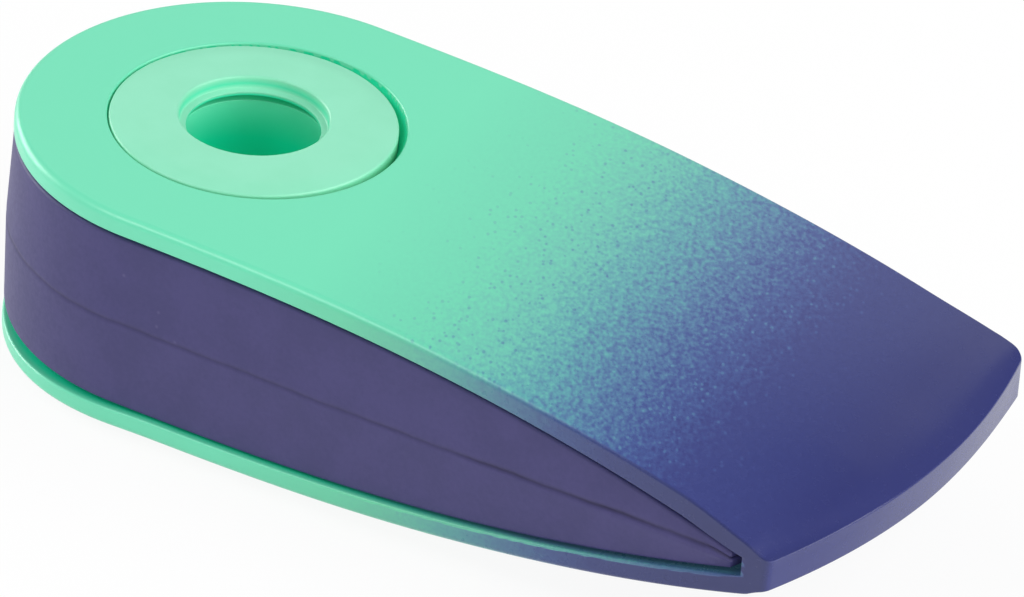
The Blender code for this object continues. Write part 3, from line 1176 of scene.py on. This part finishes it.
@dataclass
class SnapHub:
    """A hollow hub in two turned pieces: the cap's collar snaps over a spigot on the base."""

    half_height: float
    flange_radius: float
    place: np.ndarray
    bore_radius: float = 3.85 * MM
    lip_radius: float = 3.55 * MM
    lip_depth: float = 0.93 * MM
    crown: float = 0.3 * MM
    shoulder_radius: float = 6.5 * MM
    shoulder_rise: float = 0.2 * MM
    shoulder_round: float = 5.0 * MM
    mouth_radius: float = 3.98 * MM
    step_radius: float = 3.88 * MM
    step_depth: float = 0.64 * MM
    step_round: float = 0.06 * MM
    wall_depth: float = 0.42 * MM
    wall_radius: float = 3.93 * MM
    lip_height: float = 0.22 * MM
    mouth_round: float = 0.14 * MM
    bore_draft: float = 0.04 * MM
    bore_fade: float = 2.3 * MM
    spigot_radius: float = 5.05 * MM
    socket_radius: float = 5.2 * MM
    bead_height: float = 0.3 * MM
    bead_centre: float = 3.4 * MM
    bead_half: float = 0.3 * MM
    groove_half: float = 0.45 * MM
    barrel_radius: float = 6.1 * MM
    flange_underside: float = 5.2 * MM
    collar_end: float = 2.2 * MM
    shoulder: float = 2.1 * MM
    seat_gap: float = 0.46 * MM
    rim_round: float = 0.15 * MM
    # Shares of the hub's painted deeper green and glow, painted shade in the mouth: most on the step wall,
    # little on the ledge, half on the spigot's top in the seat gap.
    wall_shade_mark: float = 0.65
    ledge_shade_mark: float = 0.08
    spigot_shade_mark: float = 0.5
    turn_count: int = 176
    arc_steps: int = 7
    longest: float = 1.5 * MM

    def ring(self, radius: float, half: float) -> list[Corner]:
        """Return the corners of a snap ring that stands out from `radius`, top to bottom."""
        crest = radius + self.bead_height
        top, bottom = self.bead_centre + half, self.bead_centre - half
        return [
            Corner(radius, top),
            Corner(crest, top - half / 2),
            Corner(crest, bottom + half / 2),
            Corner(radius, bottom),
        ]

    def cap_corners(self) -> list[Corner]:
        """Return the cap's section: mouth, crowned flange, collar and the grooved socket inside it."""
        brim = self.half_height + self.crown
        roof = brim - self.lip_depth
        # Marks paint the hub's deeper green and glow in as painted shade and light: fully on the lip's
        # underside and the socket's roof, partly on the mouth's step wall and ledge.
        full = Mark.FULL.value
        mouth = [
            Corner(self.lip_radius, roof, mark=full),
            Corner(self.lip_radius, roof + self.lip_height, mark=self.ledge_shade_mark),
            Corner(self.step_radius, brim - self.step_depth, self.step_round, self.ledge_shade_mark),
            Corner(self.wall_radius, brim - self.wall_depth, mark=self.wall_shade_mark),
            Corner(self.mouth_radius, brim, self.mouth_round),
        ]
        flange = [
            Corner(self.shoulder_radius, self.half_height + self.shoulder_rise, self.shoulder_round),
            Corner(self.flange_radius, self.half_height, self.rim_round),
            Corner(self.flange_radius, self.flange_underside),
            Corner(self.barrel_radius, self.flange_underside),
        ]
        collar = [Corner(self.barrel_radius, self.collar_end), Corner(self.socket_radius, self.collar_end)]
        groove = self.ring(self.socket_radius, self.groove_half)[::-1]
        return mouth + flange + collar + groove + [Corner(self.socket_radius, roof, mark=full)]

    def base_corners(self) -> list[Corner]:
        """Return the base's section: spigot with its bead, barrel, lower flange, mouth and bore."""
        top = self.half_height + self.crown - self.lip_depth - self.seat_gap
        # Marks paint the hub's deeper green and glow in as painted shade and light: on the spigot's top
        # and down the bore, fading out at its lower mouth.
        full = Mark.FULL.value
        spigot = [
            Corner(self.bore_radius, top, mark=self.spigot_shade_mark),
            Corner(self.spigot_radius, top, mark=full),
        ]
        barrel = [Corner(self.spigot_radius, self.shoulder), Corner(self.barrel_radius, self.shoulder)]
        flange = [
            Corner(self.barrel_radius, -self.flange_underside),
            Corner(self.flange_radius, -self.flange_underside),
            Corner(self.flange_radius, -self.half_height, self.rim_round),
        ]
        waist = self.bore_radius + self.bore_draft
        bore = [
            Corner(self.bore_radius, -self.half_height, self.mouth_round),
            Corner(waist, self.bore_fade - self.half_height, mark=full),
            Corner(waist, top - self.bore_fade, mark=full),
        ]
        return spigot + self.ring(self.spigot_radius, self.bead_half) + barrel + flange + bore

    def turned(self, name: str, corners: Sequence[Corner]) -> bpy.types.Object:
        """Carry a closed section round the hub axis.

        Args:
            name: Name of the piece.
            corners: Corners of the section.

        Returns:
            The linked piece.
        """
        section = softened(corners, self.arc_steps, self.longest)
        turn = np.linspace(0.0, 2 * math.pi, self.turn_count, endpoint=False)
        points = raised(rings(section[:, 0], 0.0, turn), section[:, 1:2])
        patch = Patch(points, np.broadcast_to(section[:, 2:], points.shape[:2]), tube=True)
        return mesh_piece(name, [patch], self.place)

    def build(self) -> list[bpy.types.Object]:
        """Make the cap and the base and dress them alike."""
        finish = HubPlastic().material()
        cap = self.turned("hub_cap_turned", self.cap_corners())
        base = self.turned("hub_base_turned", self.base_corners())
        for piece, node in ((cap, "hub_cap"), (base, "hub_base")):
            fit_piece(piece, finish, Body.ERASER, Slot.HUB, node)
        return [cap, base]


def heading_of(azimuth: float, elevation: float) -> Vector:
    """Return the direction at two angles in degrees; azimuth 0 is in front, at -Y, and 90 at +X."""
    turn, rise = math.radians(azimuth), math.radians(elevation)
    return Vector((math.sin(turn) * math.cos(rise), -math.cos(turn) * math.cos(rise), math.sin(rise)))


def set_up(name: str, data: bpy.types.ID, spot: Vector, facing: Quaternion) -> bpy.types.Object:
    """Link a lamp or a camera into the scene.

    Args:
        name: Name of the object.
        data: The lamp or the camera.
        spot: Where it stands.
        facing: How it is turned.

    Returns:
        The linked object.
    """
    made = bpy.data.objects.new(name, data)
    made.location = spot
    made.rotation_mode = "QUATERNION"
    made.rotation_quaternion = facing
    bpy.context.scene.collection.objects.link(made)
    return made


@dataclass(frozen=True)
class SoftBox:
    """A rectangular lamp that faces the object."""

    name: str
    azimuth: float
    elevation: float
    distance: float
    width: float
    height: float
    power: float

    def build(self, target: Vector) -> None:
        """Hang the lamp round the object, facing it."""
        lamp = bpy.data.lights.new(self.name, "AREA")
        lamp.shape = "RECTANGLE"
        lamp.size = self.width
        lamp.size_y = self.height
        lamp.energy = self.power
        heading = heading_of(self.azimuth, self.elevation)
        facing = heading.to_track_quat("Z", "Y")
        stand = set_up(self.name, lamp, target + heading * self.distance, facing)
        stand.visible_camera = False


@dataclass
class Studio:
    """White floor, pale surroundings, soft lamps and the camera."""

    floor_half: float = 1.5
    floor_lines: int = 3
    floor_drop: float = 0.6 * MM
    floor_colour: Colour = grey(0.87)
    floor_lift: float = 0.92
    ambient: Colour = grey(0.26)
    wall: Colour = grey(0.05)
    azimuth: float = 29.41
    elevation: float = 31.435
    roll: float = 4.65
    distance: float = 0.85
    lens: float = 574.0
    sensor: float = 36.0
    farthest: float = 10.0
    aim: tuple[float, float, float] = (-0.5 * MM, 0.0, 6.4 * MM)
    aim_right: float = 2.05 * MM
    aim_up: float = 0.688 * MM

    def lamps(self) -> list[SoftBox]:
        """Return a lamp on the right, one over the front, two low ones and a panel behind.

        Returns:
            The lamps, by azimuth, elevation, distance, width, height and power.
        """
        return [
            SoftBox("right", 98.0, 36.0, 1.3, 1.4, 1.3, 18.2),
            SoftBox("front_left", -40.0, 46.0, 1.3, 0.4, 0.4, 4.3),
            SoftBox("low_front", 32.0, 9.0, 1.4, 1.5, 0.8, 7.2),
            SoftBox("low_left", -95.0, 8.0, 1.4, 0.9, 0.9, 19.5),
            SoftBox("back_left", -152.0, 28.0, 1.4, 1.3, 0.7, 1.85),
        ]

    @staticmethod
    def background_rays(bench: Bench) -> Wire:
        """Return 1 for rays from the camera, or by way of gloss or glass, else 0."""
        path = bench.node("ShaderNodeLightPath", {}, {})
        gloss = bench.value(path, "Is Glossy Ray").or_more(bench.value(path, "Is Transmission Ray"))
        return bench.value(path, "Is Camera Ray").or_more(gloss)

    def build_floor(self) -> None:
        """Lay a white floor that keeps the object's shadow and shows white round it."""
        side = np.linspace(-self.floor_half, self.floor_half, self.floor_lines)
        plan = np.stack(np.meshgrid(side, side), axis=-1)
        points = raised(plan, np.full(plan.shape[:2], -self.floor_drop))
        floor = mesh_piece("floor", [Patch.plain(points, Mark.NONE, ring=False)], np.zeros(3))
        made, bench = new_material("white_floor")
        card = bench.node("ShaderNodeBsdfDiffuse", {}, {"Color": self.floor_colour})
        glow = bench.node("ShaderNodeEmission", {}, {"Color": WHITE, "Strength": 1.0})
        share = self.background_rays(bench) * self.floor_lift
        mixed = bench.node("ShaderNodeMixShader", {}, {0: share, 1: card.outputs[0], 2: glow.outputs[0]})
        bench.node("ShaderNodeOutputMaterial", {}, {"Surface": mixed.outputs[0]})
        floor.data.materials.append(made)

    def build_world(self) -> None:
        """Surround the object with even light, with dim walls in reflections and white ones in view."""
        world = bpy.data.worlds.new("studio_walls")
        world.use_nodes = True
        bpy.context.scene.world = world
        bench = Bench(world.node_tree)
        path = bench.node("ShaderNodeLightPath", {}, {})
        shown = bench.blend(bench.value(path, "Is Camera Ray"), self.wall, WHITE)
        colour = bench.blend(self.background_rays(bench), self.ambient, shown)
        light = bench.node("ShaderNodeBackground", {}, {"Color": colour, "Strength": 1.0})
        bench.node("ShaderNodeOutputWorld", {}, {"Surface": light.outputs[0]})

    def build_camera(self) -> None:
        """Stand the camera at the photograph's angle, turned by its roll and moved in its own plane."""
        back = heading_of(self.azimuth, self.elevation)
        level = Vector((-back.y, back.x, 0.0)).normalized()
        spin = Matrix.Rotation(math.radians(self.roll), 3, back)
        right, up = spin @ level, spin @ back.cross(level)
        lens = bpy.data.cameras.new("photo_camera")
        lens.lens = self.lens
        lens.sensor_width = self.sensor
        lens.clip_end = self.farthest
        aim = Vector(self.aim) + right * self.aim_right + up * self.aim_up
        facing = Matrix((right, up, back)).transposed().to_quaternion()
        bpy.context.scene.camera = set_up("photo_camera", lens, aim + back * self.distance, facing)

    def build(self) -> None:
        """Set up the floor, the surroundings, the lamps and the camera."""
        self.build_floor()
        self.build_world()
        for lamp in self.lamps():
            lamp.build(Vector(self.aim))
        self.build_camera()
        bpy.context.scene.view_settings.view_transform = "Standard"


def clear_scene() -> None:
    """Remove every object of the open file."""
    for thing in list(bpy.data.objects):
        bpy.data.objects.remove(thing, do_unlink=True)


def main() -> None:
    """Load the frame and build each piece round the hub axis."""
    logging.basicConfig(level=logging.INFO, format="%(message)s")
    clear_scene()
    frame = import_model()
    hub = np.array(frame["joints"][0]["pos_m"])
    sleeve_low, sleeve_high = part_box("sleeve")
    eraser_low, eraser_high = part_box("eraser")
    cap_low, cap_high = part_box("hub_cap")
    size = sleeve_high - sleeve_low
    eraser_width = eraser_high.y - eraser_low.y
    assemblies = (
        Sleeve(size.x, size.y, size.z, hub),
        EraserWedge(eraser_width / 2, eraser_high.x - hub[0], eraser_high.z - hub[2], hub),
        SnapHub(cap_high.z - hub[2], (cap_high.y - cap_low.y) / 2, hub),
    )
    for assembly in assemblies:
        for piece in assembly.build():
            LOG.info("%s: %d faces", piece.name, len(piece.data.polygons))
    Studio().build()


if __name__ == "__main__":
    main()
